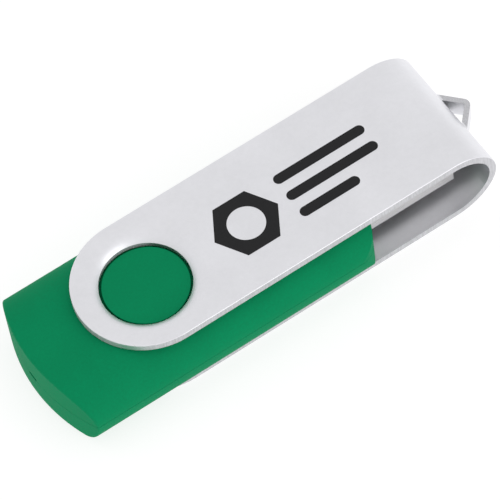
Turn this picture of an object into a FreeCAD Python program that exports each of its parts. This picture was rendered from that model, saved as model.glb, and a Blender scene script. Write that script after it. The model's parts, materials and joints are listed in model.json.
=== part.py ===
import FreeCAD, Part
import math
import os

# Swivel USB flash drive, built in millimetres.
# The pieces are drawn about the swivel axis: x = 0, y = 0 is the axis, +X runs to the plug and the
# cover's bend, z = 0 is the underside of the cover. At the end all pieces are moved along X together
# so that the origin is at the bottom centre of the whole drive.

V = FreeCAD.Vector
UP = V(0, 0, 1)

# ---- swivel cover: one bent aluminium strip ----
COVER_WIDTH = 17.5
COVER_HEIGHT = 10.4
SHEET = 1.0
COVER_EDGE_BREAK = 0.15     # rounding left by tumbling on the sheet's long edges
BEND_SIDE_WIDER = 1.0       # curl of the plates: its outside radius beyond half the height
BEND_NOSE_TIGHTER = 0.6     # nose of the bend: its outside radius short of half the height
TIP_GAP = 3.3               # plug tip to the inside of the bend

# pressed rim round the pivot hole
HOLE_R = 5.5
DISH_DEPTH = 0.8            # how far the edge of the hole is pressed in
DISH_RUN = 1.7              # radial length of the rolled slope
RIM_MARGIN = 0.35           # flat ring round the slope

# key loop: the middle strip of the bend, pressed out to a rounded V
LOOP_REACH = 2.3            # loop tip beyond the bend's nose
LOOP_HEIGHT = 2.5
LOOP_HALF_ANGLE = 48.0      # degrees between each leg and the long axis
LOOP_THICKNESS = 0.7        # the strip is drawn out thinner than the sheet
LOOP_INNER_R = 0.2          # inside rounding of the V; the outside is one strip thickness more

# screen print on the upper plate: a hexagon ring and three bars
PRINT_THICKNESS = 0.02
PRINT_SHIFT_Y = -0.6        # the print sits a little towards the near edge
PRINT_START = 9.2           # swivel axis to the left corner of the hexagon
HEXAGON_R = 4.4
HEXAGON_BORE_R = 2.3
BAR_START_GAP = 1.3         # hexagon to bars
BAR_LENGTHS = (12.6, 12.6, 8.2)
BAR_WIDTH = 1.35
BAR_PITCH = 2.75

# ---- plastic housing ----
HOUSING_WIDTH = 20.5        # at the parting line, where the barrel-shaped sides are widest
HOUSING_REAR = 16.1         # swivel axis to the middle of the rounded rear end
HOUSING_FRONT = 25.8        # swivel axis to the front face
PLATE_GAP = 0.1             # housing to each cover plate
REAR_ARC_R = 23.0
REAR_EDGE_R = 0.35          # rounding between the rear face and the rest of the shells
FRONT_CORNER_R = 3.0
FRONT_LOW_R = 2.0           # front lower edge, seen from the side
FRONT_TOP_R = 0.6
TOP_SHOULDER = 6.6          # width of the elliptical fall from the flat top to the parting line
BOTTOM_SHOULDER = 2.25      # the same under the parting line
SMALLEST_R = 0.3            # smallest rounding inside the housing
WALL = 1.2
SEAM_DEPTH = 0.06           # fine step along the parting line
SEAM_HEIGHT = 0.06
LIP_HEIGHT = 0.9
LIP_THICKNESS = 0.6
LIP_GAP = 0.05
LIP_TO_RIB = 0.1

# pivot boss and the groove that takes the cover's rim
BOSS_GAP = 0.35             # visible gap between the boss and the hole
RIM_PLAY = 0.05             # running clearance of the rolled rim in the mouth of the groove
GROOVE_FLOOR_GAP = 0.5
GROOVE_WALL = 1.0

# ---- USB plug, standard A size ----
PLUG_WIDTH = 12.0
PLUG_HEIGHT = 4.5
PLUG_WALL = 0.3
PLUG_CORNER_R = 0.65
PLUG_REACH = 12.8           # plug tip beyond the housing's front face
PLUG_DROP = 0.25            # plug centre below the cover's mid-height
PLUG_INSIDE = 4.8           # length of the shell inside the housing
OPENING_GAP = 0.05
WINDOW_LENGTH = 2.3
WINDOW_WIDTH = 2.5
WINDOW_FROM_TIP = 6.4
WINDOW_SPACING = 5.8
TAB_LENGTH = 2.4
TAB_HEIGHT = 2.2
INSULATOR_RECESS = 0.4
INSULATOR_GAP = 0.03
INSULATOR_BLOCK = 3.2       # length of the part that fills the whole shell
INSULATOR_NOSE = 0.5
CONTACT_WIDTH = 1.0
CONTACT_THICKNESS = 0.2
CONTACT_PROUD = 0.05
OUTER_CONTACT_Y = 3.5
INNER_CONTACT_Y = 1.0
OUTER_CONTACT_RECESS = 1.1
INNER_CONTACT_RECESS = 2.1

# ---- circuit board and the parts on it ----
BOARD_THICKNESS = 0.8
BOARD_INSET = 2.75          # board edge inside the housing's outline
NECK_GAP = 0.1              # board neck to the plug shell's tabs
BOARD_TO_BLOCK = 0.2
SHOULDER_TO_TAB = 0.3
LEAD_ON_BOARD = 1.6         # contact tail lying on the board
LEAD_THICKNESS = 0.15
STANDOFF = 0.1
RIB_WIDTH = 1.0
RIB_REACH = 0.7             # how far the ribs lie over the board's edge
FLASH_LENGTH = 18.4
FLASH_WIDTH = 12.0
FLASH_HEIGHT = 1.0
FLASH_LEAD_COUNT = 24
FLASH_PITCH = 0.5
FLASH_LEAD_REACH = 0.8
FLASH_FROM_REAR = 1.45
CHIP_GAP = 1.2              # flash leads to controller leads
CONTROLLER_SIZE = 7.0
CONTROLLER_HEIGHT = 1.0
CONTROLLER_LEAD_COUNT = 12
CONTROLLER_LEAD_REACH = 0.8
LEAD_WIDTH = 0.22
SLOT_LENGTH = 1.5
SLOT_HEIGHT = 0.5
LED_LENGTH = 1.6
LED_DEPTH = 0.8
LED_BASE_HEIGHT = 0.25
LED_LENS_HEIGHT = 0.35
CRYSTAL_LENGTH = 3.2
CRYSTAL_WIDTH = 2.5
CRYSTAL_BASE_HEIGHT = 0.3
CRYSTAL_LID_HEIGHT = 0.4
CRYSTAL_LID_INSET = 0.2
EDGE_MARGIN = 0.35          # small parts to the board's long edge
REGULATOR_LENGTH = 2.9
REGULATOR_WIDTH = 1.3
REGULATOR_HEIGHT = 0.9
REGULATOR_LEAD_REACH = 0.45
CHIP_PART_LENGTH = 1.0
CHIP_PART_WIDTH = 0.5
CHIP_PART_HEIGHT = 0.5
SOLDER_HEIGHT = 0.5
PAD_R = 0.6
PAD_THICKNESS = 0.04
PAD_PITCH = 2.2

# ---- levels and places worked out from the sizes above ----
MID_Z = COVER_HEIGHT / 2
BEND_SIDE_R = MID_Z + BEND_SIDE_WIDER
BEND_NOSE_R = MID_Z - BEND_NOSE_TIGHTER
TOP_Z = COVER_HEIGHT - SHEET - PLATE_GAP
BASE_Z = SHEET + PLATE_GAP
ROOF_Z = TOP_Z - WALL
FLOOR_Z = BASE_Z + WALL
DISH_R = (DISH_RUN ** 2 + DISH_DEPTH ** 2) / (2 * DISH_DEPTH)
DISH_START_R = HOLE_R + DISH_RUN
DISH_BACK_R = DISH_R - SHEET
RIM_BACK_Z = COVER_HEIGHT - DISH_R + DISH_BACK_R * (1 - DISH_DEPTH / DISH_R)
GROOVE_Z = RIM_BACK_Z - GROOVE_FLOOR_GAP
RIM_OUTER_R = DISH_START_R + RIM_MARGIN
BOSS_R = HOLE_R - BOSS_GAP
RIM_AT_TOP_R = DISH_START_R - math.sqrt(DISH_BACK_R ** 2 - (DISH_BACK_R - PLATE_GAP) ** 2)
GROOVE_R = RIM_AT_TOP_R + RIM_PLAY
BOSS_CORE_R = BOSS_R - WALL
RING_R = GROOVE_R + GROOVE_WALL

PLUG_TIP_X = HOUSING_FRONT + PLUG_REACH
PLUG_BACK_X = HOUSING_FRONT - PLUG_INSIDE
BEND_TIP_X = PLUG_TIP_X + TIP_GAP + SHEET
LOOP_TIP_X = BEND_TIP_X + LOOP_REACH
LOOP_OUTER_R = LOOP_INNER_R + LOOP_THICKNESS
PLUG_Z = MID_Z - PLUG_DROP
PLUG_LOW_Z = PLUG_Z - PLUG_HEIGHT / 2
PLUG_HIGH_Z = PLUG_Z + PLUG_HEIGHT / 2
PARTING_Z = PLUG_Z
LIP_TOP_Z = PARTING_Z + LIP_HEIGHT
LIP_INSET = WALL + LIP_GAP
LIP_INNER_INSET = LIP_INSET + LIP_THICKNESS
RIB_INSET = LIP_INNER_INSET + LIP_TO_RIB

CONTACT_HIGH_Z = PLUG_Z
CONTACT_LOW_Z = CONTACT_HIGH_Z - CONTACT_THICKNESS
TONGUE_Z = CONTACT_HIGH_Z - CONTACT_PROUD
BOARD_TOP_Z = CONTACT_LOW_Z
BOARD_LOW_Z = BOARD_TOP_Z - BOARD_THICKNESS
BLOCK_BACK_X = PLUG_BACK_X + BOARD_TO_BLOCK
BOARD_FRONT_X = PLUG_BACK_X
TAB_BACK_X = PLUG_BACK_X - TAB_LENGTH
NECK_START_X = TAB_BACK_X - SHOULDER_TO_TAB
TAB_INNER_Y = PLUG_WIDTH / 2 - PLUG_WALL
NECK_HALF = TAB_INNER_Y - NECK_GAP
BOARD_HALF = HOUSING_WIDTH / 2 - BOARD_INSET
BOARD_REAR_X = -HOUSING_REAR + BOARD_INSET
FLASH_X = BOARD_REAR_X + FLASH_FROM_REAR + FLASH_LEAD_REACH + FLASH_LENGTH / 2
FLASH_END_X = FLASH_X + FLASH_LENGTH / 2 + FLASH_LEAD_REACH
CONTROLLER_X = FLASH_END_X + CHIP_GAP + CONTROLLER_LEAD_REACH + CONTROLLER_SIZE / 2

# ---- how edges are picked out for rounding ----
NEAR = 1e-3                 # distance that counts as lying on a face
RIM_SAMPLES = 5             # points tried along an edge

# the whole drive runs from -HOUSING_REAR to LOOP_TIP_X along X
CENTRE_SHIFT = V((HOUSING_REAR - LOOP_TIP_X) / 2, 0, 0)


# ---- small shape helpers ----
def block(x0, x1, y0, y1, z0, z1):
    return Part.makeBox(x1 - x0, y1 - y0, z1 - z0, V(x0, y0, z0))


def disc(radius, z0, z1):
    return Part.makeCylinder(radius, z1 - z0, V(0, 0, z0), UP)


def ring(inner, outer, z0, z1):
    return disc(outer, z0, z1).cut(disc(inner, z0, z1))


def prism(points, along):
    wire = Part.makePolygon(points + [points[0]])
    return Part.Face(wire).extrude(along)


def line(a, b):
    return Part.makeLine(a, b)


def arc(a, middle, b):
    return Part.Arc(a, middle, b).toShape()


def on_circle(centre, radius, direction):
    unit = V(direction)
    unit.normalize()
    return centre + unit * radius


def face_of(edges):
    return Part.Face(Part.Wire(edges))


def flipped(shape):
    # the same shape on the other side of the mid-height plane
    return shape.mirror(V(0, 0, MID_Z), UP)


def both_sides(shape):
    return [shape, shape.mirror(V(0, 0, 0), V(0, 1, 0))]


# ---- swivel cover ----
def bend_profile(inset):
    # edges of the U, running from the open end of one plate round the nose to the other
    nose = V(BEND_TIP_X - BEND_NOSE_R, 0, MID_Z)
    apart = BEND_SIDE_R - BEND_NOSE_R
    start_x = nose.x - math.sqrt(apart ** 2 - BEND_SIDE_WIDER ** 2)
    side_r = BEND_SIDE_R - inset
    nose_r = BEND_NOSE_R - inset
    low = V(start_x, 0, BEND_SIDE_R)
    high = V(start_x, 0, COVER_HEIGHT - BEND_SIDE_R)
    low_start = V(start_x, 0, inset)
    high_end = V(start_x, 0, COVER_HEIGHT - inset)
    low_join = on_circle(nose, nose_r, nose - low)
    high_join = on_circle(nose, nose_r, nose - high)
    low_middle = on_circle(low, side_r, (low_start - low).normalize() + (nose - low).normalize())
    high_middle = on_circle(high, side_r, (high_end - high).normalize() + (nose - high).normalize())
    tip = nose + V(nose_r, 0, 0)
    open_low = V(-COVER_WIDTH, 0, inset)
    open_high = V(-COVER_WIDTH, 0, COVER_HEIGHT - inset)
    return open_low, open_high, [
        line(open_low, low_start),
        arc(low_start, low_middle, low_join),
        arc(low_join, tip, high_join),
        arc(high_join, high_middle, high_end),
        line(high_end, open_high),
    ]


def bent_strip():
    out_low, out_high, outside = bend_profile(0)
    in_low, in_high, inside = bend_profile(SHEET)
    edges = outside + [line(out_high, in_high)] + inside + [line(in_low, out_low)]
    wire = Part.Wire(Part.__sortEdges__(edges))
    strip = Part.Face(wire).extrude(V(0, COVER_WIDTH, 0))
    strip.translate(V(0, -COVER_WIDTH / 2, 0))
    half = COVER_WIDTH / 2
    plan = disc(half, 0, COVER_HEIGHT).fuse(block(0, BEND_TIP_X, -half, half, 0, COVER_HEIGHT))
    return strip.common(plan)


def long_edges(shape):
    # the outer edges of the strip, on its faces z = 0 and z = top and round the bend
    chosen = []
    half = COVER_WIDTH / 2
    for edge in shape.Edges:
        box = edge.BoundBox
        on_side = abs(abs(box.YMin) - half) < NEAR and box.YLength < NEAR
        flat = box.ZLength < NEAR and (box.ZMin < NEAR or box.ZMax > COVER_HEIGHT - NEAR)
        round_end = flat and box.XMax < NEAR
        outside = flat or box.ZMin < SHEET / 2 or box.ZMax > COVER_HEIGHT - SHEET / 2
        nose = box.XMax > BEND_TIP_X - NEAR
        if round_end or (on_side and (outside or nose)):
            chosen.append(edge)
    return chosen


def pressed_rim():
    # section of the rolled rim: two arcs about one centre, cut off upright at the edge of the hole
    # and coined flat underneath
    top = COVER_HEIGHT
    centre = V(DISH_START_R, 0, top - DISH_R)
    hole_high = V(HOLE_R, 0, top - DISH_DEPTH)
    hole_low = V(HOLE_R, 0, RIM_BACK_Z)
    towards_hole = (hole_high - centre).normalize()
    half_way = towards_hole + UP
    start_high = V(DISH_START_R, 0, top)
    start_low = V(DISH_START_R, 0, top - SHEET)
    back = on_circle(centre, DISH_BACK_R, towards_hole)
    outer_high = V(RIM_OUTER_R, 0, top)
    outer_low = V(RIM_OUTER_R, 0, top - SHEET)
    edges = [
        line(outer_high, start_high),
        arc(start_high, on_circle(centre, DISH_R, half_way), hole_high),
        line(hole_high, hole_low),
        line(hole_low, back),
        arc(back, on_circle(centre, DISH_BACK_R, half_way), start_low),
        line(start_low, outer_low),
        line(outer_low, outer_high),
    ]
    return face_of(edges).revolve(V(0, 0, 0), UP, 360)


def loop_prism(sharp_x, tip_r, back_x):
    # rounded V in plan, as tall as the loop, closed by a straight back
    half_angle = math.radians(LOOP_HALF_ANGLE)
    slope_y = math.tan(half_angle)
    centre = V(sharp_x - tip_r / math.sin(half_angle), 0, 0)
    touch = centre + V(tip_r * math.sin(half_angle), tip_r * math.cos(half_angle), 0)
    touch_low = V(touch.x, -touch.y, 0)
    back_y = (sharp_x - back_x) * slope_y
    back_high = V(back_x, back_y, 0)
    back_low = V(back_x, -back_y, 0)
    edges = [
        line(back_low, touch_low),
        arc(touch_low, centre + V(tip_r, 0, 0), touch),
        line(touch, back_high),
        line(back_high, back_low),
    ]
    shape = face_of(edges).extrude(V(0, 0, LOOP_HEIGHT))
    shape.translate(V(0, 0, MID_Z - LOOP_HEIGHT / 2))
    return shape


def swivel_cover():
    strip = bent_strip()
    strip = strip.makeFillet(COVER_EDGE_BREAK, long_edges(strip))
    hole = disc(RIM_OUTER_R, 0, COVER_HEIGHT)
    rim = pressed_rim()
    strip = strip.cut(hole).fuse(rim).fuse(flipped(rim))
    half_angle = math.radians(LOOP_HALF_ANGLE)
    outer_sharp = LOOP_TIP_X + LOOP_OUTER_R * (1 / math.sin(half_angle) - 1)
    inner_sharp = outer_sharp - LOOP_THICKNESS / math.sin(half_angle)
    wall_x = BEND_TIP_X - SHEET
    back_x = wall_x - SHEET
    outer = loop_prism(outer_sharp, LOOP_OUTER_R, wall_x)
    hollow = loop_prism(inner_sharp, LOOP_INNER_R, back_x)
    # the legs start inside the wall of the bend and never reach into the space behind it
    out_low, out_high, outside = bend_profile(SHEET)
    space = Part.Face(Part.Wire(outside + [line(out_high, out_low)])).extrude(V(0, COVER_WIDTH, 0))
    space.translate(V(0, -COVER_WIDTH / 2, 0))
    legs = outer.cut(space)
    return strip.fuse(legs).cut(hollow).removeSplitter()


def print_bar(length, row):
    radius = BAR_WIDTH / 2
    start = HEXAGON_R + BAR_START_GAP + radius
    end = start + length - BAR_WIDTH
    y = -row * BAR_PITCH
    edges = [
        line(V(start, y + radius, 0), V(end, y + radius, 0)),
        arc(V(end, y + radius, 0), V(end + radius, y, 0), V(end, y - radius, 0)),
        line(V(end, y - radius, 0), V(start, y - radius, 0)),
        arc(V(start, y - radius, 0), V(start - radius, y, 0), V(start, y + radius, 0)),
    ]
    return face_of(edges).extrude(V(0, 0, PRINT_THICKNESS))


def cover_imprint():
    corners = []
    for index in range(6):
        turn = math.radians(60 * index)
        corners.append(V(HEXAGON_R * math.cos(turn), HEXAGON_R * math.sin(turn), 0))
    hexagon = prism(corners, V(0, 0, PRINT_THICKNESS)).cut(disc(HEXAGON_BORE_R, 0, PRINT_THICKNESS))
    layers = [hexagon]
    middle = (len(BAR_LENGTHS) - 1) / 2
    for index, length in enumerate(BAR_LENGTHS):
        layers.append(print_bar(length, index - middle))
    imprint = Part.makeCompound(layers)
    imprint.translate(V(PRINT_START + HEXAGON_R, PRINT_SHIFT_Y, COVER_HEIGHT))
    return imprint


# ---- housing ----
def plan_prism(inset, z0, z1):
    # outline of the housing seen from above, moved inwards by inset
    half = HOUSING_WIDTH / 2 - inset
    front = HOUSING_FRONT - inset
    front_r = max(FRONT_CORNER_R - inset, SMALLEST_R)
    start = -HOUSING_REAR - WALL
    middle = on_circle(V(front - front_r, half - front_r, z0), front_r, V(1, 1, 0))

    def low(point):
        return V(point.x, -point.y, point.z)

    side = V(front - front_r, half, z0)
    face = V(front, half - front_r, z0)
    back = V(start, half, z0)
    edges = [
        line(back, side),
        arc(side, middle, face),
        line(face, low(face)),
        arc(low(face), low(middle), low(side)),
        line(low(side), low(back)),
        line(low(back), back),
    ]
    outline = face_of(edges).extrude(V(0, 0, z1 - z0))
    centre_x = REAR_ARC_R - HOUSING_REAR
    round_end = disc(REAR_ARC_R - inset, z0, z1)
    round_end.translate(V(centre_x, 0, 0))
    rest = block(centre_x, HOUSING_FRONT, -REAR_ARC_R, REAR_ARC_R, z0, z1)
    return outline.common(round_end.fuse(rest))


def rounded_rect(low, high, radii, make_point):
    # closed outline through four rounded corners; radii run from low-low round to low-high
    (u0, v0), (u1, v1) = low, high
    corners = [(u0, v0, 1, 1), (u1, v0, -1, 1), (u1, v1, -1, -1), (u0, v1, 1, -1)]
    marks = []
    for (u, v, su, sv), radius in zip(corners, radii):
        cu = u + su * radius
        cv = v + sv * radius
        k = radius * math.sqrt(0.5)
        first, last = (u, cv), (cu, v)
        if su * sv < 0:
            first, last = last, first
        marks.append((make_point(*first), make_point(cu - su * k, cv - sv * k), make_point(*last)))
    edges = []
    for index, mark in enumerate(marks):
        edges.append(arc(*mark))
        following = marks[(index + 1) % 4][0]
        edges.append(line(mark[2], following))
    return face_of(edges)


def quarter(start, corner, end):
    # quarter of an ellipse that touches both sides of the corner
    curve = Part.BezierCurve()
    curve.setPoles([start, corner, end])
    curve.setWeight(2, math.sqrt(0.5))
    return curve.toShape()


def barrel(inset):
    # cross-section of the housing, moved inwards by inset, drawn out along the whole length
    half = HOUSING_WIDTH / 2 - inset
    flat_top = HOUSING_WIDTH / 2 - TOP_SHOULDER
    flat_base = HOUSING_WIDTH / 2 - BOTTOM_SHOULDER
    high = TOP_Z - inset
    low = BASE_Z + inset
    start = -HOUSING_REAR - WALL

    def at(y, z):
        return V(start, y, z)

    edges = [
        quarter(at(-half, PARTING_Z), at(-half, high), at(-flat_top, high)),
        line(at(-flat_top, high), at(flat_top, high)),
        quarter(at(flat_top, high), at(half, high), at(half, PARTING_Z)),
        quarter(at(half, PARTING_Z), at(half, low), at(flat_base, low)),
        line(at(flat_base, low), at(-flat_base, low)),
        quarter(at(-flat_base, low), at(-half, low), at(-half, PARTING_Z)),
    ]
    return face_of(edges).extrude(V(HOUSING_REAR + HOUSING_FRONT + 2 * WALL, 0, 0))


def housing_form(inset):
    # the housing's outer form, moved inwards by inset on all sides
    return plan_prism(inset, BASE_Z + inset, TOP_Z - inset).common(barrel(inset))


def rear_rim(shape):
    # the edge loop round the rear face: edges that lie on the rear cylinder all along
    chosen = []
    centre_x = REAR_ARC_R - HOUSING_REAR
    for edge in shape.Edges:
        points = edge.discretize(RIM_SAMPLES)
        off = [abs(math.hypot(point.x - centre_x, point.y) - REAR_ARC_R) for point in points]
        if max(off) < NEAR and max(point.x for point in points) < 0:
            chosen.append(edge)
    return chosen


def housing_outside():
    half = HOUSING_WIDTH / 2
    side = rounded_rect(
        (-HOUSING_REAR - WALL, BASE_Z), (HOUSING_FRONT, TOP_Z),
        [FRONT_TOP_R, FRONT_LOW_R, FRONT_TOP_R, FRONT_TOP_R],
        lambda u, v: V(u, -half, v))
    slab = side.extrude(V(0, HOUSING_WIDTH, 0))
    body = housing_form(0).common(slab)
    return body.makeFillet(REAR_EDGE_R, rear_rim(body))


def between(low, high):
    # the slice of space from one level to another
    return block(-HOUSING_REAR - WALL, HOUSING_FRONT + WALL,
                 -HOUSING_WIDTH, HOUSING_WIDTH, low, high)


def groove():
    # what is cut from the top face round the boss; the cover's rolled rim turns in its mouth
    return ring(BOSS_R, GROOVE_R, GROOVE_Z, TOP_Z)


def support_ring():
    # extra wall behind the groove, hanging from the roof
    return ring(BOSS_CORE_R, RING_R, GROOVE_Z - GROOVE_WALL, ROOF_Z)


def rib_places():
    rear = FLASH_X - FLASH_LENGTH / 2
    return [rear, CONTROLLER_X + CONTROLLER_SIZE / 2]


def plug_opening():
    outline = rounded_rect(
        (-PLUG_WIDTH / 2 - OPENING_GAP, PLUG_LOW_Z - OPENING_GAP),
        (PLUG_WIDTH / 2 + OPENING_GAP, PLUG_HIGH_Z + OPENING_GAP),
        [PLUG_CORNER_R + OPENING_GAP] * 4,
        lambda u, v: V(HOUSING_FRONT - 2 * WALL, u, v))
    return outline.extrude(V(3 * WALL, 0, 0))


def led_slot():
    low = BOARD_TOP_Z
    return block(-HOUSING_REAR - WALL, -HOUSING_REAR + 2 * WALL,
                 -SLOT_LENGTH / 2, SLOT_LENGTH / 2, low, low + SLOT_HEIGHT)


def ribs(inner_y, low, high, inset):
    # short walls that hold the board, reaching out to the form moved inwards by inset
    inside = housing_form(inset)
    pieces = []
    for x in rib_places():
        rib = block(x - RIB_WIDTH / 2, x + RIB_WIDTH / 2, inner_y, HOUSING_WIDTH / 2, low, high)
        pieces += both_sides(rib.common(inside))
    return pieces


def clamp(low, high):
    # block that holds the plug shell from above or below
    return block(PLUG_BACK_X, PLUG_BACK_X + RIB_WIDTH, -PLUG_WIDTH / 4, PLUG_WIDTH / 4, low, high)


def housing_top_shell():
    cavity = housing_form(WALL)
    shell = housing_outside().common(between(PARTING_Z, COVER_HEIGHT)).cut(cavity)
    rib_y = BOARD_HALF - RIB_REACH
    parts = [support_ring().common(housing_form(WALL / 2)), clamp(PLUG_HIGH_Z, ROOF_Z + WALL / 2)]
    parts += ribs(rib_y, BOARD_TOP_Z, ROOF_Z, RIB_INSET)
    parts += ribs(rib_y, LIP_TOP_Z + LIP_TO_RIB, ROOF_Z, WALL / 2)
    shell = shell.multiFuse(parts)
    return shell.cut(groove()).cut(plug_opening()).cut(led_slot()).removeSplitter()


def lip():
    # tongue along the bottom shell's rim that stands up inside the top shell
    inner = housing_form(LIP_INNER_INSET)
    foot = housing_form(WALL / 2).cut(inner).common(between(PARTING_Z - LIP_HEIGHT, PARTING_Z - SEAM_HEIGHT))
    tongue = housing_form(LIP_INSET).cut(inner).common(between(PARTING_Z - LIP_HEIGHT, LIP_TOP_Z))
    collar = housing_form(WALL / 2).cut(inner).common(between(PARTING_Z - SEAM_HEIGHT, PARTING_Z))
    return [foot, tongue, collar]


def housing_bottom_shell():
    shell = housing_outside().common(between(0, PARTING_Z)).cut(housing_form(WALL))
    seam = housing_form(0).cut(housing_form(SEAM_DEPTH)).common(between(PARTING_Z - SEAM_HEIGHT, PARTING_Z))
    shell = shell.cut(seam)
    parts = lip()
    parts += [flipped(support_ring()).common(housing_form(WALL / 2)), clamp(FLOOR_Z - WALL / 2, PLUG_LOW_Z)]
    parts += ribs(BOARD_HALF - RIB_REACH, FLOOR_Z, BOARD_LOW_Z, WALL / 2)
    shell = shell.multiFuse(parts)
    return shell.cut(flipped(groove())).cut(plug_opening()).cut(led_slot()).removeSplitter()


# ---- USB plug ----
def plug_bar(inset, x0, x1):
    half = PLUG_WIDTH / 2 - inset
    radius = PLUG_CORNER_R - inset
    outline = rounded_rect(
        (-half, PLUG_LOW_Z + inset), (half, PLUG_HIGH_Z - inset),
        [radius, radius, radius, radius], lambda u, v: V(x0, u, v))
    return outline.extrude(V(x1 - x0, 0, 0))


def plug_shell():
    shell = plug_bar(0, PLUG_BACK_X, PLUG_TIP_X)
    shell = shell.cut(plug_bar(PLUG_WALL, PLUG_BACK_X, PLUG_TIP_X))
    window_x = PLUG_TIP_X - WINDOW_FROM_TIP
    for y in (-WINDOW_SPACING / 2, WINDOW_SPACING / 2):
        shell = shell.cut(block(window_x - WINDOW_LENGTH / 2, window_x + WINDOW_LENGTH / 2,
                                y - WINDOW_WIDTH / 2, y + WINDOW_WIDTH / 2, 0, COVER_HEIGHT))
    tab = block(TAB_BACK_X, PLUG_BACK_X, TAB_INNER_Y, PLUG_WIDTH / 2,
                PLUG_Z - TAB_HEIGHT / 2, PLUG_Z + TAB_HEIGHT / 2)
    return shell.multiFuse(both_sides(tab)).removeSplitter()


def contact(y, recess):
    tail_x = BOARD_FRONT_X - LEAD_ON_BOARD
    end_x = PLUG_TIP_X - INSULATOR_RECESS - recess
    return block(tail_x, end_x, y - CONTACT_WIDTH / 2, y + CONTACT_WIDTH / 2,
                 CONTACT_LOW_Z, CONTACT_HIGH_Z)


def contacts():
    return {
        "contact_vbus": contact(OUTER_CONTACT_Y, OUTER_CONTACT_RECESS),
        "contact_data_minus": contact(INNER_CONTACT_Y, INNER_CONTACT_RECESS),
        "contact_data_plus": contact(-INNER_CONTACT_Y, INNER_CONTACT_RECESS),
        "contact_ground": contact(-OUTER_CONTACT_Y, OUTER_CONTACT_RECESS),
    }


def plug_insulator():
    inset = PLUG_WALL + INSULATOR_GAP
    end_x = PLUG_TIP_X - INSULATOR_RECESS
    body = plug_bar(inset, BLOCK_BACK_X, end_x)
    free = block(BLOCK_BACK_X + INSULATOR_BLOCK, PLUG_TIP_X, -PLUG_WIDTH, PLUG_WIDTH,
                 TONGUE_Z, COVER_HEIGHT)
    nose = prism([
        V(end_x, -PLUG_WIDTH, TONGUE_Z - INSULATOR_NOSE),
        V(end_x, -PLUG_WIDTH, TONGUE_Z),
        V(end_x - INSULATOR_NOSE, -PLUG_WIDTH, TONGUE_Z),
    ], V(0, 2 * PLUG_WIDTH, 0))
    body = body.cut(free).cut(nose)
    for strip in contacts().values():
        body = body.cut(strip)
    return body


# ---- circuit board ----
def circuit_board():
    wide = plan_prism(BOARD_INSET, BOARD_LOW_Z, BOARD_TOP_Z)
    wide = wide.common(block(-HOUSING_REAR, NECK_START_X, -HOUSING_WIDTH, HOUSING_WIDTH,
                             BOARD_LOW_Z, BOARD_TOP_Z))
    neck = block(NECK_START_X, BOARD_FRONT_X, -NECK_HALF, NECK_HALF, BOARD_LOW_Z, BOARD_TOP_Z)
    return wide.fuse(neck).removeSplitter()


def gull_lead(reach, height):
    # one lead running along +X from the chip's side at x = 0 down to the board
    half = height / 2 + STANDOFF
    points = [
        (0, half + LEAD_THICKNESS / 2), (0, half - LEAD_THICKNESS / 2),
        (reach * 0.3, half - LEAD_THICKNESS / 2), (reach * 0.45, 0), (reach, 0),
        (reach, LEAD_THICKNESS), (reach * 0.55, LEAD_THICKNESS), (reach * 0.4, half + LEAD_THICKNESS / 2),
    ]
    return prism([V(x, -LEAD_WIDTH / 2, z) for x, z in points], V(0, LEAD_WIDTH, 0))


def lead_row(count, pitch, reach, height, place_x, place_y, angle):
    row = []
    for index in range(count):
        offset = (index - (count - 1) / 2) * pitch
        lead = gull_lead(reach, height)
        lead.translate(V(0, offset, 0))
        lead.rotate(V(0, 0, 0), UP, angle)
        lead.translate(V(place_x, place_y, BOARD_TOP_Z))
        row.append(lead)
    return row


def chip_body(x, y, length, width, height):
    low = BOARD_TOP_Z + STANDOFF
    return block(x - length / 2, x + length / 2, y - width / 2, y + width / 2, low, low + height)


def flash_leads():
    half = FLASH_LENGTH / 2
    leads = lead_row(FLASH_LEAD_COUNT, FLASH_PITCH, FLASH_LEAD_REACH, FLASH_HEIGHT, FLASH_X + half, 0, 0)
    leads += lead_row(FLASH_LEAD_COUNT, FLASH_PITCH, FLASH_LEAD_REACH, FLASH_HEIGHT, FLASH_X - half, 0, 180)
    return Part.makeCompound(leads)


def controller_leads():
    half = CONTROLLER_SIZE / 2
    leads = []
    for angle in (0, 90, 180, 270):
        turn = math.radians(angle)
        leads += lead_row(CONTROLLER_LEAD_COUNT, FLASH_PITCH, CONTROLLER_LEAD_REACH, CONTROLLER_HEIGHT,
                          CONTROLLER_X + half * math.cos(turn), half * math.sin(turn), angle)
    return Part.makeCompound(leads)


def crystal_y():
    return BOARD_HALF - EDGE_MARGIN - CRYSTAL_WIDTH / 2


def crystal_base():
    return block(CONTROLLER_X - CRYSTAL_LENGTH / 2, CONTROLLER_X + CRYSTAL_LENGTH / 2,
                 crystal_y() - CRYSTAL_WIDTH / 2, crystal_y() + CRYSTAL_WIDTH / 2,
                 BOARD_TOP_Z, BOARD_TOP_Z + CRYSTAL_BASE_HEIGHT)


def crystal_lid():
    half_x = CRYSTAL_LENGTH / 2 - CRYSTAL_LID_INSET
    half_y = CRYSTAL_WIDTH / 2 - CRYSTAL_LID_INSET
    low = BOARD_TOP_Z + CRYSTAL_BASE_HEIGHT
    return block(CONTROLLER_X - half_x, CONTROLLER_X + half_x,
                 crystal_y() - half_y, crystal_y() + half_y, low, low + CRYSTAL_LID_HEIGHT)


def regulator_y():
    return -(BOARD_HALF - EDGE_MARGIN - REGULATOR_LEAD_REACH - REGULATOR_WIDTH / 2)


def regulator_body():
    return chip_body(CONTROLLER_X, regulator_y(), REGULATOR_LENGTH, REGULATOR_WIDTH, REGULATOR_HEIGHT)


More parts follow.
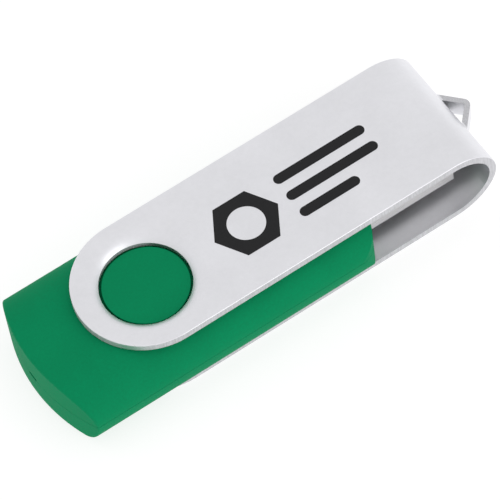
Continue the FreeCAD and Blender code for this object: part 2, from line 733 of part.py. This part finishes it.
def regulator_leads():
    y = regulator_y()
    half = REGULATOR_WIDTH / 2
    leads = lead_row(2, 2 * REGULATOR_LENGTH / 3, REGULATOR_LEAD_REACH, REGULATOR_HEIGHT,
                     CONTROLLER_X, y - half, 270)
    leads += lead_row(1, 0, REGULATOR_LEAD_REACH, REGULATOR_HEIGHT, CONTROLLER_X, y + half, 90)
    return Part.makeCompound(leads)


def led_base():
    return block(BOARD_REAR_X + EDGE_MARGIN, BOARD_REAR_X + EDGE_MARGIN + LED_DEPTH,
                 -LED_LENGTH / 2, LED_LENGTH / 2, BOARD_TOP_Z, BOARD_TOP_Z + LED_BASE_HEIGHT)


def led_lens():
    low = BOARD_TOP_Z + LED_BASE_HEIGHT
    half = LED_LENGTH / 4
    return block(BOARD_REAR_X + EDGE_MARGIN, BOARD_REAR_X + EDGE_MARGIN + LED_DEPTH,
                 -half, half, low, low + LED_LENS_HEIGHT)


def chip_parts(places):
    parts = []
    for x, y in places:
        parts.append(block(x - CHIP_PART_LENGTH / 2, x + CHIP_PART_LENGTH / 2,
                           y - CHIP_PART_WIDTH / 2, y + CHIP_PART_WIDTH / 2,
                           BOARD_TOP_Z, BOARD_TOP_Z + CHIP_PART_HEIGHT))
    return Part.makeCompound(parts)


def edge_row(start_x, step, count, side):
    y = side * (BOARD_HALF - EDGE_MARGIN - CHIP_PART_WIDTH / 2)
    return [(start_x + step * index, y) for index in range(count)]


def tab_solder():
    points = [(TAB_INNER_Y, BOARD_LOW_Z), (NECK_HALF, BOARD_LOW_Z), (NECK_HALF, BOARD_TOP_Z),
              (NECK_HALF - SOLDER_HEIGHT, BOARD_TOP_Z), (TAB_INNER_Y, BOARD_TOP_Z + SOLDER_HEIGHT)]
    start = TAB_BACK_X + SHOULDER_TO_TAB
    wedge = prism([V(start, y, z) for y, z in points], V(TAB_LENGTH - 2 * SHOULDER_TO_TAB, 0, 0))
    return Part.makeCompound(both_sides(wedge))


def contact_solder():
    tail_x = BOARD_FRONT_X - LEAD_ON_BOARD
    wedges = []
    for y in (-OUTER_CONTACT_Y, -INNER_CONTACT_Y, INNER_CONTACT_Y, OUTER_CONTACT_Y):
        points = [V(tail_x, y - CONTACT_WIDTH / 2, BOARD_TOP_Z),
                  V(tail_x - CONTACT_THICKNESS, y - CONTACT_WIDTH / 2, BOARD_TOP_Z),
                  V(tail_x, y - CONTACT_WIDTH / 2, CONTACT_HIGH_Z)]
        wedges.append(prism(points, V(0, CONTACT_WIDTH, 0)))
    return Part.makeCompound(wedges)


def test_pads():
    pads = []
    for index in range(4):
        pad = disc(PAD_R, BOARD_LOW_Z - PAD_THICKNESS, BOARD_LOW_Z)
        pad.translate(V(CONTROLLER_X, (index - 1.5) * PAD_PITCH, 0))
        pads.append(pad)
    return Part.makeCompound(pads)


def all_nodes():
    flash_low_x = FLASH_X - FLASH_LENGTH / 2 + 2 * RIB_WIDTH
    nodes = {
        "swivel_cover": swivel_cover(),
        "cover_imprint": cover_imprint(),
        "housing_top_shell": housing_top_shell(),
        "housing_bottom_shell": housing_bottom_shell(),
        "plug_shell": plug_shell(),
        "plug_insulator": plug_insulator(),
        "circuit_board": circuit_board(),
        "flash_chip": chip_body(FLASH_X, 0, FLASH_LENGTH, FLASH_WIDTH, FLASH_HEIGHT),
        "flash_leads": flash_leads(),
        "controller_chip": chip_body(CONTROLLER_X, 0, CONTROLLER_SIZE, CONTROLLER_SIZE, CONTROLLER_HEIGHT),
        "controller_leads": controller_leads(),
        "crystal_base": crystal_base(),
        "crystal_lid": crystal_lid(),
        "regulator_body": regulator_body(),
        "regulator_leads": regulator_leads(),
        "led_base": led_base(),
        "led_lens": led_lens(),
        "resistors": chip_parts(edge_row(flash_low_x, 2 * CHIP_PART_LENGTH, 3, 1)),
        "capacitors": chip_parts(edge_row(flash_low_x, 2 * CHIP_PART_LENGTH, 5, -1)),
        "tab_solder": tab_solder(),
        "contact_solder": contact_solder(),
        "test_pads": test_pads(),
    }
    nodes.update(contacts())
    return nodes


os.makedirs("parts", exist_ok=True)
for name, shape in all_nodes().items():
    shape.translate(CENTRE_SHIFT)
    shape.exportStep("parts/" + name + ".step")
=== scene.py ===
import json
import math
import bpy
from mathutils import Euler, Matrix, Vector


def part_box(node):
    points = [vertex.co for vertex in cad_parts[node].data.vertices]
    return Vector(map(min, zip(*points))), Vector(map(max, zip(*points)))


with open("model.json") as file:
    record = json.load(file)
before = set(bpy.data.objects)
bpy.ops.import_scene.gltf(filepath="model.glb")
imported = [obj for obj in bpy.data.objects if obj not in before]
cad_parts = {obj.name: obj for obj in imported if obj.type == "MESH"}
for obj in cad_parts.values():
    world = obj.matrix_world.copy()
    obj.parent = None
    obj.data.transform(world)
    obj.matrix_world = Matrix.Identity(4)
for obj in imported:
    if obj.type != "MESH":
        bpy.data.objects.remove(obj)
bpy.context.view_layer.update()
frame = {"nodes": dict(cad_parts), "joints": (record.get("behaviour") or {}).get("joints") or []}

bl_info = {
    "name": "Swivel Flash Drive",
    "version": (1, 0, 0),
    "blender": (4, 5, 0),
    "location": "View3D > Sidebar > Flash Drive",
    "description": "Gives the packed flash drive its finishes, small details, stage and camera",
    "category": "Object",
}

MM = 0.001
LOOP_REACH = 2.3 * MM       # how far the key loop stands out from the nose of the bend
PIVOT_X = frame["joints"][0]["pos_m"][0]
NOSE_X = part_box("swivel_cover")[1][0] - LOOP_REACH

# sizes of the finishes' patterns, in millimetres
ANODISE_CLOUD = 7.0         # slow drift of tone over the sheet
ANODISE_SPECK = 0.6         # small darker spots
EDGE_TEAR = 0.16            # tear lines on a sheared edge
INK_MESH = 0.35             # marks of the screen, coarser than its 0.1 mm threads so that they show
MOULD_FLOW = 5.0            # clouds left where the plastic flowed
ROLLED_LINE = 0.25          # lines along drawn steel, coarser than real so that they show
CONTACT_LINE = 0.2
TINNED_LINE = 0.3
WEAVE = 4.0                 # bundles of glass thread, coarser than real so that they show
TRACK_LENGTH = 5.0

# how far a noise field really spreads about its middle
LOW = 0.3
HIGH = 0.7


def from_hex(value):
    """sRGB hex colour as a linear RGBA tuple."""
    channels = []
    for start in (1, 3, 5):
        level = int(value[start:start + 2], 16) / 255
        channels.append(level / 12.92 if level <= 0.04045 else ((level + 0.055) / 1.055) ** 2.4)
    return (*channels, 1.0)


def per_metre(size_mm):
    """Texture scale whose features are about size_mm across, in object coordinates."""
    return 1.0 / (size_mm * MM)


# ---------------------------------------------------------------- settings
class CoverSettings(bpy.types.PropertyGroup):
    """Finish of the bent aluminium cover and its print."""
    metal: bpy.props.FloatVectorProperty(
        name="Aluminium", description="Colour of the blasted, clear anodised sheet",
        subtype="COLOR", size=4, min=0, max=1, default=from_hex("#EEEEF2"))
    ink: bpy.props.FloatVectorProperty(
        name="Ink", description="Colour of the screen print",
        subtype="COLOR", size=4, min=0, max=1, default=from_hex("#19191B"))
    grain: bpy.props.FloatProperty(
        name="Blasting grain",
        description="Size of the pits left by the beads, in mm; real ones are half this and wouldn't show",
        default=0.22, min=0.05, max=2.0)


class HousingSettings(bpy.types.PropertyGroup):
    """Finish of the two plastic shells."""
    plastic: bpy.props.FloatVectorProperty(
        name="Plastic", description="Colour of the moulded ABS",
        subtype="COLOR", size=4, min=0, max=1, default=from_hex("#058556"))
    texture: bpy.props.FloatProperty(
        name="Mould texture",
        description="Size of the spark-eroded texture, in mm; real ones are a third of this",
        default=0.3, min=0.05, max=2.0)


class PlugSettings(bpy.types.PropertyGroup):
    """Finish of the plug's metal and insulator."""
    nickel: bpy.props.FloatVectorProperty(
        name="Nickel", description="Colour of the plated steel shell",
        subtype="COLOR", size=4, min=0, max=1, default=from_hex("#D2D1D0"))
    gold: bpy.props.FloatVectorProperty(
        name="Gold", description="Colour of the contacts' flash of gold",
        subtype="COLOR", size=4, min=0, max=1, default=from_hex("#E3BC6A"))
    insulator: bpy.props.FloatVectorProperty(
        name="Insulator", description="Colour of the plug's PBT block",
        subtype="COLOR", size=4, min=0, max=1, default=from_hex("#1C1C1E"))


class BoardSettings(bpy.types.PropertyGroup):
    """Finish of the circuit board and its parts."""
    mask: bpy.props.FloatVectorProperty(
        name="Solder mask", description="Colour of the board's coating",
        subtype="COLOR", size=4, min=0, max=1, default=from_hex("#14593A"))
    trace_pitch: bpy.props.FloatProperty(
        name="Trace pitch", description="Spacing of the copper tracks, in millimetres",
        default=0.5, min=0.1, max=3.0)
    copper: bpy.props.FloatVectorProperty(
        name="Covered copper", description="Colour of the tracks under the coating",
        subtype="COLOR", size=4, min=0, max=1, default=from_hex("#2A8A55"))
    resin: bpy.props.FloatVectorProperty(
        name="Chip resin", description="Colour of the chips' moulded epoxy",
        subtype="COLOR", size=4, min=0, max=1, default=from_hex("#232325"))
    tin: bpy.props.FloatVectorProperty(
        name="Tin", description="Colour of the leads and the solder",
        subtype="COLOR", size=4, min=0, max=1, default=from_hex("#CFCFCB"))
    ceramic: bpy.props.FloatVectorProperty(
        name="Ceramic", description="Colour of the capacitors and the small parts' bases",
        subtype="COLOR", size=4, min=0, max=1, default=from_hex("#B79368"))
    lens: bpy.props.FloatVectorProperty(
        name="Lens", description="Colour of the light's clear silicone",
        subtype="COLOR", size=4, min=0, max=1, default=from_hex("#E6E2CF"))


class StageSettings(bpy.types.PropertyGroup):
    """Floor, light and camera."""
    floor: bpy.props.FloatVectorProperty(
        name="Floor", description="Colour of the floor's paper before the light under it is added",
        subtype="COLOR", size=4, min=0, max=1, default=from_hex("#9C9C9C"))
    floor_glow: bpy.props.FloatProperty(
        name="Floor glow", description="Light that the backlit floor gives off itself", default=0.75, min=0)
    sky: bpy.props.FloatProperty(
        name="Sky", description="Strength of the even white light all round", default=0.85, min=0)
    floor_reach: bpy.props.FloatProperty(
        name="Floor reach", description="Middle of the floor to each of its edges",
        subtype="DISTANCE", default=3.0, min=0.1)
    softbox_place: bpy.props.FloatVectorProperty(
        name="Softbox place", description="Where the softbox in front on the right stands",
        subtype="TRANSLATION", unit="LENGTH", default=(0.3, -0.6, 0.3))
    softbox_size: bpy.props.FloatProperty(
        name="Softbox size", description="Side of the square softbox",
        subtype="DISTANCE", default=0.5, min=0.01)
    softbox_power: bpy.props.FloatProperty(
        name="Softbox power", description="Power of the softbox", unit="POWER", default=1.0, min=0)
    aim_height: bpy.props.FloatProperty(
        name="Aim height", description="Height over the floor that the softbox points at",
        subtype="DISTANCE", default=0.005)
    camera_place: bpy.props.FloatVectorProperty(
        name="Camera place", description="Where the camera stands", subtype="TRANSLATION", unit="LENGTH",
        default=(-0.1110007, -0.2285151, 0.4055294))
    camera_turn: bpy.props.FloatVectorProperty(
        name="Camera turn", description="How the camera is turned", subtype="EULER", unit="ROTATION",
        default=(math.radians(31.909944), math.radians(5.004714), math.radians(-33.728468)))
    lens: bpy.props.FloatProperty(
        name="Lens", description="Focal length of the camera, in millimetres", default=293.535, min=1)


# ---------------------------------------------------------------- materials
def add_node(tree, kind, inputs=None, **settings):
    """Adds a node; inputs maps a socket's name or number to a value or to another node's socket."""
    new = tree.nodes.new(kind)
    for key, value in settings.items():
        setattr(new, key, value)
    for key, value in (inputs or {}).items():
        if isinstance(value, bpy.types.NodeSocket):
            tree.links.new(value, new.inputs[key])
        else:
            new.inputs[key].default_value = value
    return new


def start_material(name):
    """An empty material and its node tree."""
    material = bpy.data.materials.new(name)
    material.use_nodes = True
    material.node_tree.nodes.clear()
    return material, material.node_tree


def finish_material(tree, shader):
    """Puts the shader on the surface."""
    add_node(tree, "ShaderNodeOutputMaterial", {"Surface": shader.outputs["BSDF"]})


def blasted_anodised_aluminium(settings):
    # Aluminium sheet, blasted with glass beads and clear anodised. The fine pits spread the reflection
    # into a soft, even grey, and the oxide keeps it pale. The sheared edges are duller and darker, with
    # fine upright tear lines.
    material, tree = start_material("aluminium_blasted_anodised")
    coords = add_node(tree, "ShaderNodeTexCoord")
    place = coords.outputs["Object"]
    grain = add_node(tree, "ShaderNodeTexNoise", {
        "Vector": place, "Scale": per_metre(settings.grain), "Detail": 2.0, "Roughness": 0.6})
    cloud = add_node(tree, "ShaderNodeTexNoise", {
        "Vector": place, "Scale": per_metre(ANODISE_CLOUD), "Detail": 3.0, "Roughness": 0.55})
    speck = add_node(tree, "ShaderNodeTexNoise", {
        "Vector": place, "Scale": per_metre(ANODISE_SPECK), "Detail": 3.0, "Roughness": 0.7})
    # cut edges: faces that look along Y, the rounded ends' upright faces, and the loop's top and bottom
    facing = add_node(tree, "ShaderNodeSeparateXYZ", {0: coords.outputs["Normal"]})
    where = add_node(tree, "ShaderNodeSeparateXYZ", {0: place})
    across = add_node(tree, "ShaderNodeMath", {0: facing.outputs["Y"]}, operation="ABSOLUTE")
    along = add_node(tree, "ShaderNodeMath", {0: facing.outputs["X"]}, operation="ABSOLUTE")
    behind = add_node(tree, "ShaderNodeMath", {0: where.outputs["X"], 1: PIVOT_X}, operation="LESS_THAN")
    end = add_node(tree, "ShaderNodeMath", {0: along.outputs[0], 1: behind.outputs[0]}, operation="MULTIPLY")
    upright = add_node(tree, "ShaderNodeMath", {0: facing.outputs["Z"]}, operation="ABSOLUTE")
    in_loop = add_node(tree, "ShaderNodeMath", {0: where.outputs["X"], 1: NOSE_X}, operation="GREATER_THAN")
    strip = add_node(tree, "ShaderNodeMath", {0: upright.outputs[0], 1: in_loop.outputs[0]},
                     operation="MULTIPLY")
    side = add_node(tree, "ShaderNodeMath", {0: across.outputs[0], 1: end.outputs[0]}, operation="MAXIMUM")
    cut = add_node(tree, "ShaderNodeMath", {0: side.outputs[0], 1: strip.outputs[0]}, operation="MAXIMUM")
    cut_edge = add_node(tree, "ShaderNodeMapRange", {
        "Value": cut.outputs[0], "From Min": 0.72, "From Max": 0.95}, interpolation_type="SMOOTHSTEP")
    stretched = add_node(tree, "ShaderNodeMapping", {"Vector": place, "Scale": (1.0, 1.0, 0.12)})
    tears = add_node(tree, "ShaderNodeTexNoise", {
        "Vector": stretched.outputs[0], "Scale": per_metre(EDGE_TEAR), "Detail": 2.0, "Roughness": 0.6})
    tone = add_node(tree, "ShaderNodeMapRange", {
        "Value": cloud.outputs["Fac"], "From Min": LOW, "From Max": HIGH, "To Min": 0.965, "To Max": 1.02})
    fleck = add_node(tree, "ShaderNodeMapRange", {
        "Value": speck.outputs["Fac"], "From Min": 0.25, "From Max": 0.75, "To Min": 0.975, "To Max": 1.015})
    level = add_node(tree, "ShaderNodeMath", {0: tone.outputs[0], 1: fleck.outputs[0]}, operation="MULTIPLY")
    torn = add_node(tree, "ShaderNodeMapRange", {
        "Value": tears.outputs["Fac"], "From Min": LOW, "From Max": HIGH, "To Min": 0.6, "To Max": 0.76})
    edge_level = add_node(tree, "ShaderNodeMix", {
        "Factor": cut_edge.outputs[0], "A": 1.0, "B": torn.outputs[0]}, data_type="FLOAT")
    whole = add_node(tree, "ShaderNodeMath", {0: level.outputs[0], 1: edge_level.outputs[0]},
                     operation="MULTIPLY")
    colour = add_node(tree, "ShaderNodeVectorMath", {0: settings.metal[:3], "Scale": whole.outputs[0]},
                      operation="SCALE")
    rough_field = add_node(tree, "ShaderNodeMapRange", {
        "Value": cloud.outputs["Fac"], "From Min": LOW, "From Max": HIGH, "To Min": 0.4, "To Max": 0.47})
    rough = add_node(tree, "ShaderNodeMix", {
        "Factor": cut_edge.outputs[0], "A": rough_field.outputs[0], "B": 0.55}, data_type="FLOAT")
    metal = add_node(tree, "ShaderNodeMapRange", {"Value": cut_edge.outputs[0], "To Min": 1.0, "To Max": 0.5})
    relief = add_node(tree, "ShaderNodeMix", {
        "Factor": cut_edge.outputs[0], "A": grain.outputs["Fac"], "B": tears.outputs["Fac"]},
        data_type="FLOAT")
    bump = add_node(tree, "ShaderNodeBump", {
        "Height": relief.outputs[0], "Strength": 0.22, "Distance": 0.02 * MM})
    shader = add_node(tree, "ShaderNodeBsdfPrincipled", {
        "Base Color": colour.outputs[0], "Metallic": metal.outputs[0], "Roughness": rough.outputs[0],
        "Normal": bump.outputs[0]})
    finish_material(tree, shader)
    return material


def screen_print_ink(settings):
    # Two-part ink squeezed through a mesh: nearly black, a little uneven, duller than the metal.
    material, tree = start_material("ink_screen_printed")
    coords = add_node(tree, "ShaderNodeTexCoord")
    mesh_marks = add_node(tree, "ShaderNodeTexNoise", {
        "Vector": coords.outputs["Object"], "Scale": per_metre(INK_MESH), "Detail": 2.0})
    tone = add_node(tree, "ShaderNodeMapRange", {
        "Value": mesh_marks.outputs["Fac"], "From Min": LOW, "From Max": HIGH,
        "To Min": 0.85, "To Max": 1.15})
    colour = add_node(tree, "ShaderNodeVectorMath", {0: settings.ink[:3], "Scale": tone.outputs[0]},
                      operation="SCALE")
    rough = add_node(tree, "ShaderNodeMapRange", {
        "Value": mesh_marks.outputs["Fac"], "To Min": 0.48, "To Max": 0.62})
    bump = add_node(tree, "ShaderNodeBump", {
        "Height": mesh_marks.outputs["Fac"], "Strength": 0.15, "Distance": 0.01 * MM})
    shader = add_node(tree, "ShaderNodeBsdfPrincipled", {
        "Base Color": colour.outputs[0], "Roughness": rough.outputs[0], "IOR": 1.5,
        "Specular IOR Level": 0.25, "Normal": bump.outputs[0]})
    finish_material(tree, shader)
    return material


def moulded_abs(name, base, texture_mm):
    # ABS from a spark-eroded mould: an even, dense colour under a very fine stipple, so highlights are
    # broad and weak. The mould flow leaves the colour very slightly cloudy.
    material, tree = start_material(name)
    coords = add_node(tree, "ShaderNodeTexCoord")
    place = coords.outputs["Object"]
    stipple = add_node(tree, "ShaderNodeTexNoise", {
        "Vector": place, "Scale": per_metre(texture_mm), "Detail": 3.0, "Roughness": 0.65})
    flow = add_node(tree, "ShaderNodeTexNoise", {
        "Vector": place, "Scale": per_metre(MOULD_FLOW), "Detail": 2.0, "Distortion": 0.6})
    grain_tone = add_node(tree, "ShaderNodeMapRange", {
        "Value": stipple.outputs["Fac"], "From Min": LOW, "From Max": HIGH, "To Min": 0.94, "To Max": 1.06})
    flow_tone = add_node(tree, "ShaderNodeMapRange", {
        "Value": flow.outputs["Fac"], "From Min": LOW, "From Max": HIGH, "To Min": 0.975, "To Max": 1.025})
    level = add_node(tree, "ShaderNodeMath", {0: grain_tone.outputs[0], 1: flow_tone.outputs[0]},
                     operation="MULTIPLY")
    colour = add_node(tree, "ShaderNodeVectorMath", {0: base[:3], "Scale": level.outputs[0]},
                      operation="SCALE")
    rough = add_node(tree, "ShaderNodeMapRange", {
        "Value": stipple.outputs["Fac"], "From Min": LOW, "From Max": HIGH, "To Min": 0.58, "To Max": 0.72})
    bump = add_node(tree, "ShaderNodeBump", {
        "Height": stipple.outputs["Fac"], "Strength": 0.25, "Distance": 0.02 * MM})
    shader = add_node(tree, "ShaderNodeBsdfPrincipled", {
        "Base Color": colour.outputs[0], "Roughness": rough.outputs[0], "IOR": 1.52,
        "Specular IOR Level": 0.05, "Normal": bump.outputs[0]})
    finish_material(tree, shader)
    return material


def drawn_metal(name, base, roughness, line_mm, stretch):
    # Rolled or drawn strip, plated: fine lines along its length under a bright, slightly soft gloss.
    # stretch below 1 draws the lines out along X.
    material, tree = start_material(name)
    coords = add_node(tree, "ShaderNodeTexCoord")
    along = add_node(tree, "ShaderNodeMapping", {
        "Vector": coords.outputs["Object"], "Scale": (stretch, 1.0, 1.0)})
    lines = add_node(tree, "ShaderNodeTexNoise", {
        "Vector": along.outputs[0], "Scale": per_metre(line_mm), "Detail": 3.0, "Roughness": 0.6})
    tone = add_node(tree, "ShaderNodeMapRange", {
        "Value": lines.outputs["Fac"], "From Min": LOW, "From Max": HIGH, "To Min": 0.92, "To Max": 1.03})
    colour = add_node(tree, "ShaderNodeVectorMath", {0: base[:3], "Scale": tone.outputs[0]},
                      operation="SCALE")
    rough = add_node(tree, "ShaderNodeMapRange", {
        "Value": lines.outputs["Fac"], "From Min": LOW, "From Max": HIGH,
        "To Min": roughness - 0.05, "To Max": roughness + 0.06})
    bump = add_node(tree, "ShaderNodeBump", {
        "Height": lines.outputs["Fac"], "Strength": 0.12, "Distance": 0.01 * MM})
    shader = add_node(tree, "ShaderNodeBsdfPrincipled", {
        "Base Color": colour.outputs[0], "Metallic": 1.0, "Roughness": rough.outputs[0],
        "Normal": bump.outputs[0]})
    finish_material(tree, shader)
    return material


def flecked_solid(name, base, roughness, fleck_mm, contrast):
    # Filled resin or fired ceramic: an even body with small light and dark specks of filler.
    material, tree = start_material(name)
    coords = add_node(tree, "ShaderNodeTexCoord")
    fleck = add_node(tree, "ShaderNodeTexNoise", {
        "Vector": coords.outputs["Object"], "Scale": per_metre(fleck_mm), "Detail": 3.0, "Roughness": 0.7})
    tone = add_node(tree, "ShaderNodeMapRange", {
        "Value": fleck.outputs["Fac"], "From Min": LOW, "From Max": HIGH,
        "To Min": 1.0 - contrast, "To Max": 1.0 + contrast})
    colour = add_node(tree, "ShaderNodeVectorMath", {0: base[:3], "Scale": tone.outputs[0]},
                      operation="SCALE")
    bump = add_node(tree, "ShaderNodeBump", {
        "Height": fleck.outputs["Fac"], "Strength": 0.15, "Distance": 0.01 * MM})
    shader = add_node(tree, "ShaderNodeBsdfPrincipled", {
        "Base Color": colour.outputs[0], "Roughness": roughness, "IOR": 1.55, "Normal": bump.outputs[0]})
    finish_material(tree, shader)
    return material


def solder_masked_laminate(settings):
    # Glass-epoxy board under a glossy green coating: copper tracks show through as paler lines, and
    # the weave shows faintly between them.
    material, tree = start_material("glass_epoxy_solder_masked")
    coords = add_node(tree, "ShaderNodeTexCoord")
    place = coords.outputs["Object"]
    tracks = add_node(tree, "ShaderNodeTexBrick", {
        "Vector": place, "Color1": (0, 0, 0, 1), "Color2": (0, 0, 0, 1), "Mortar": (1, 1, 1, 1),
        "Scale": per_metre(1.0), "Mortar Size": 0.12, "Brick Width": TRACK_LENGTH,
        "Row Height": settings.trace_pitch})
    weave = add_node(tree, "ShaderNodeTexWave", {
        "Vector": place, "Scale": per_metre(WEAVE), "Distortion": 2.0, "Detail": 1.0})
    copper = add_node(tree, "ShaderNodeMix", {
        "Factor": tracks.outputs["Fac"], "A": settings.mask, "B": settings.copper}, data_type="RGBA")
    tone = add_node(tree, "ShaderNodeMapRange", {"Value": weave.outputs["Fac"], "To Min": 0.9, "To Max": 1.1})
    colour = add_node(tree, "ShaderNodeVectorMath", {0: copper.outputs["Result"], "Scale": tone.outputs[0]},
                      operation="SCALE")
    bump = add_node(tree, "ShaderNodeBump", {
        "Height": tracks.outputs["Fac"], "Strength": 0.3, "Distance": 0.03 * MM})
    shader = add_node(tree, "ShaderNodeBsdfPrincipled", {
        "Base Color": colour.outputs[0], "Roughness": 0.3, "IOR": 1.55, "Normal": bump.outputs[0]})
    finish_material(tree, shader)
    return material


def dress(material, *names):
    """Gives carried-over nodes their finish."""
    for name in names:
        slots = frame["nodes"][name].data.materials
        slots.clear()
        slots.append(material)


# ---------------------------------------------------------------- operators
class DRIVE_OT_cover(bpy.types.Operator):
    """Finish the swivel cover and its print"""
    bl_idname = "drive.cover"
    bl_label = "Swivel cover"

    def execute(self, context):
        settings = context.scene.drive_cover
        dress(blasted_anodised_aluminium(settings), "swivel_cover")
        dress(screen_print_ink(settings), "cover_imprint")
        return {"FINISHED"}


class DRIVE_OT_housing(bpy.types.Operator):
    """Finish the plastic shells"""
    bl_idname = "drive.housing"
    bl_label = "Housing shells"

    def execute(self, context):
        settings = context.scene.drive_housing
        dress(moulded_abs("abs_moulded_green", settings.plastic, settings.texture),
              "housing_top_shell", "housing_bottom_shell")
        return {"FINISHED"}


class DRIVE_OT_plug(bpy.types.Operator):
    """Finish the plug's shell, insulator and contacts"""
    bl_idname = "drive.plug"
    bl_label = "USB plug"

    def execute(self, context):
        settings = context.scene.drive_plug
        dress(drawn_metal("steel_nickel_plated", settings.nickel, 0.3, ROLLED_LINE, 0.05), "plug_shell")
        dress(drawn_metal("bronze_gold_flashed", settings.gold, 0.25, CONTACT_LINE, 0.08),
              "contact_vbus", "contact_data_minus", "contact_data_plus", "contact_ground", "test_pads")
        dress(flecked_solid("pbt_glass_filled", settings.insulator, 0.5, 0.3, 0.15), "plug_insulator")
        return {"FINISHED"}


class DRIVE_OT_board(bpy.types.Operator):
    """Finish the circuit board and the parts on it"""
    bl_idname = "drive.board"
    bl_label = "Circuit board"

    def execute(self, context):
        settings = context.scene.drive_board
        dress(solder_masked_laminate(settings), "circuit_board")
        dress(flecked_solid("epoxy_moulded_black", settings.resin, 0.6, 0.2, 0.2),
              "flash_chip", "controller_chip", "regulator_body", "resistors")
        dress(drawn_metal("tin_bright_plated", settings.tin, 0.32, TINNED_LINE, 0.4),
              "flash_leads", "controller_leads", "regulator_leads", "crystal_lid",
              "tab_solder", "contact_solder")
        dress(flecked_solid("alumina_fired_tan", settings.ceramic, 0.5, 0.25, 0.1),
              "capacitors", "crystal_base", "led_base")
        dress(flecked_solid("silicone_led_clear", settings.lens, 0.15, 0.4, 0.04), "led_lens")
        return {"FINISHED"}


class DRIVE_OT_stage(bpy.types.Operator):
    """Lay the floor and set the light and the camera"""
    bl_idname = "drive.stage"
    bl_label = "Stage"

    def execute(self, context):
        settings = context.scene.drive_stage
        scene = context.scene
        mesh = bpy.data.meshes.new("floor")
        reach = settings.floor_reach
        corners = [(-reach, -reach, 0), (reach, -reach, 0), (reach, reach, 0), (-reach, reach, 0)]
        mesh.from_pydata(corners, [], [(0, 1, 2, 3)])
        floor = bpy.data.objects.new("floor", mesh)
        scene.collection.objects.link(floor)
        # Matte paper over a light box: its own glow keeps the shadow round the drive faint.
        material, tree = start_material("paper_matte_backdrop")
        shader = add_node(tree, "ShaderNodeBsdfPrincipled", {
            "Base Color": settings.floor, "Roughness": 0.95, "Specular IOR Level": 0.0,
            "Emission Color": (1, 1, 1, 1), "Emission Strength": settings.floor_glow})
        finish_material(tree, shader)
        mesh.materials.append(material)
        world = bpy.data.worlds.new("white_studio")
        world.use_nodes = True
        sky = world.node_tree.nodes["Background"]
        sky.inputs["Color"].default_value = (1, 1, 1, 1)
        sky.inputs["Strength"].default_value = settings.sky
        scene.world = world
        lamp = bpy.data.lights.new("softbox_front_right", "AREA")
        lamp.size = settings.softbox_size
        lamp.energy = settings.softbox_power
        softbox = bpy.data.objects.new("softbox_front_right", lamp)
        softbox.location = settings.softbox_place
        towards = Vector((0, 0, settings.aim_height)) - Vector(settings.softbox_place)
        softbox.rotation_euler = towards.to_track_quat("-Z", "Y").to_euler()
        scene.collection.objects.link(softbox)
        scene.view_settings.view_transform = "Standard"
        lens = bpy.data.cameras.new("camera")
        lens.lens = settings.lens
        lens.sensor_width = 36.0
        lens.clip_start = 0.01
        camera = bpy.data.objects.new("camera", lens)
        camera.location = settings.camera_place
        camera.rotation_euler = Euler(settings.camera_turn)
        scene.collection.objects.link(camera)
        scene.camera = camera
        return {"FINISHED"}


OPERATORS = (DRIVE_OT_cover, DRIVE_OT_housing, DRIVE_OT_plug, DRIVE_OT_board, DRIVE_OT_stage)
SETTINGS = {
    "drive_cover": CoverSettings,
    "drive_housing": HousingSettings,
    "drive_plug": PlugSettings,
    "drive_board": BoardSettings,
    "drive_stage": StageSettings,
}


class DRIVE_PT_panel(bpy.types.Panel):
    """Lists the drive's pieces and the stage"""
    bl_idname = "DRIVE_PT_panel"
    bl_label = "Flash Drive"
    bl_space_type = "VIEW_3D"
    bl_region_type = "UI"
    bl_category = "Flash Drive"

    def draw(self, context):
        for operator in OPERATORS:
            self.layout.operator(operator.bl_idname)


def register():
    for group in SETTINGS.values():
        bpy.utils.register_class(group)
    for operator in OPERATORS:
        bpy.utils.register_class(operator)
    bpy.utils.register_class(DRIVE_PT_panel)
    for name, group in SETTINGS.items():
        setattr(bpy.types.Scene, name, bpy.props.PointerProperty(type=group))


def unregister():
    for name in SETTINGS:
        delattr(bpy.types.Scene, name)
    bpy.utils.unregister_class(DRIVE_PT_panel)
    for operator in reversed(OPERATORS):
        bpy.utils.unregister_class(operator)
    for group in reversed(list(SETTINGS.values())):
        bpy.utils.unregister_class(group)


def main():
    register()
    bpy.ops.drive.cover()
    bpy.ops.drive.housing()
    bpy.ops.drive.plug()
    bpy.ops.drive.board()
    bpy.ops.drive.stage()


if __name__ == "__main__":
    main()
